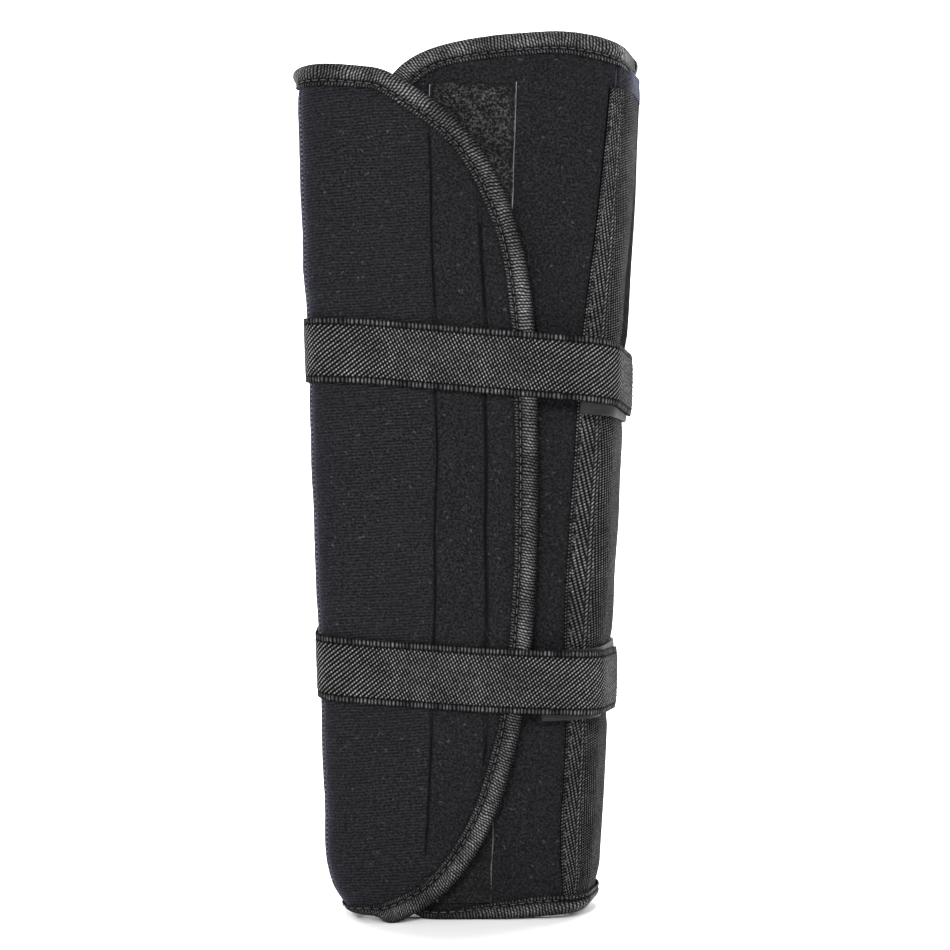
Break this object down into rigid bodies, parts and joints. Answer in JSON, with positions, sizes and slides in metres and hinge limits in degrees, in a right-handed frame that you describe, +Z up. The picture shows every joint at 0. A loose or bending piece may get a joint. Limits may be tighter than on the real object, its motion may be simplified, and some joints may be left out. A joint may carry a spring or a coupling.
{
  "type": "forearm guard",
  "caption": "Padded forearm guard that rolls round the arm, with an overlapping front flap, webbing straps and slide-in stays.",
  "frame": {"origin": "centre of the base outline, on the plane that the guard stands on", "axes": "+Z up along the forearm towards the wide end, front flap towards -Y, free edge of the flap towards +X"},
  "size_m": [0.1397, 0.0834, 0.354],
  "materials": {
    "cover_fabric": "fine knit with a short soft nap",
    "foam": "closed-cell foam sheet",
    "lining_fabric": "brushed knit",
    "binding_tape": "ribbed grosgrain tape",
    "side_webbing": "herringbone webbing",
    "strap_webbing": "twill webbing with looped edges",
    "smooth_webbing": "smooth calendered tape",
    "hook_tape": "fine plastic hooks",
    "loop_tape": "fuzzy loop pile",
    "stay_aluminium": "satin rolled strip",
    "cap_rubber": "dipped matt"
  },
  "bodies": {
    "wrap": {"outer_cover_left": "cover_fabric", "outer_cover_right": "cover_fabric", "foam_core_left": "foam", "foam_core_right": "foam", "lining_left": "lining_fabric", "lining_right": "lining_fabric", "binding_top_left": "binding_tape", "binding_top_right": "binding_tape", "binding_bottom_left": "binding_tape", "binding_bottom_right": "binding_tape", "webbing_channel_left": "side_webbing", "webbing_channel_right": "side_webbing", "webbing_channel_back": "side_webbing", "stay_sleeve_end_right": "cover_fabric", "base_strap_upper": "smooth_webbing", "base_strap_lower": "smooth_webbing"},
    "flap": {"flap_cover": "cover_fabric", "flap_foam": "foam", "flap_lining": "lining_fabric", "flap_binding": "binding_tape", "hook_strip": "hook_tape", "strap_upper_anchor": "strap_webbing", "strap_lower_anchor": "strap_webbing"},
    "under_panel": {"under_panel_cover": "cover_fabric", "under_panel_foam": "foam", "under_panel_lining": "lining_fabric", "under_panel_binding": "binding_tape", "loop_patch": "loop_tape"},
    "strap_upper": {"strap_upper": "strap_webbing", "strap_upper_hook_tab": "hook_tape"},
    "strap_lower": {"strap_lower": "strap_webbing", "strap_lower_hook_tab": "hook_tape"},
    "stay_left": {"stay_left": "stay_aluminium", "stay_left_tip_bottom": "cap_rubber", "stay_left_tip_top": "cap_rubber"},
    "stay_right": {"stay_right": "stay_aluminium", "stay_right_tip_bottom": "cap_rubber", "stay_right_tip_top": "cap_rubber"},
    "stay_back": {"stay_back": "stay_aluminium", "stay_back_tip_bottom": "cap_rubber", "stay_back_tip_top": "cap_rubber"}
  },
  "joints": [
    {"name": "flap_opening", "type": "hinge", "parent": "wrap", "child": "flap", "pos_m": [-0.06378, 0.00038, 0.175], "axis": [-0.0362, 0.0016, 0.9993], "range_deg": [-100, 0]},
    {"name": "under_panel_opening", "type": "hinge", "parent": "wrap", "child": "under_panel", "pos_m": [0.02692, -0.02952, 0.175], "axis": [0.0298, -0.0196, 0.9994], "range_deg": [0, 40]},
    {"name": "strap_upper_peel", "type": "hinge", "parent": "flap", "child": "strap_upper", "pos_m": [-0.06444, -0.00974, 0.175], "axis": [-0.0363, -0.0058, 0.9993], "range_deg": [-100, 0]},
    {"name": "strap_lower_peel", "type": "hinge", "parent": "flap", "child": "strap_lower", "pos_m": [-0.06444, -0.00974, 0.175], "axis": [-0.0363, -0.0058, 0.9993], "range_deg": [-100, 0]},
    {"name": "stay_left_slide", "type": "slide", "parent": "wrap", "child": "stay_left", "axis": [-0.0279, 0.0164, 0.9995], "range_m": [0, 0.3]},
    {"name": "stay_right_slide", "type": "slide", "parent": "wrap", "child": "stay_right", "axis": [0.0508, -0.0083, 0.9987], "range_m": [0, 0.3]},
    {"name": "stay_back_slide", "type": "slide", "parent": "wrap", "child": "stay_back", "axis": [0.0121, 0.0261, 0.9996], "range_m": [0, 0.3]}
  ],
  "couplings": [
    {"joint": "under_panel_opening", "follows": "flap_opening", "ratio": -0.4}
  ]
}
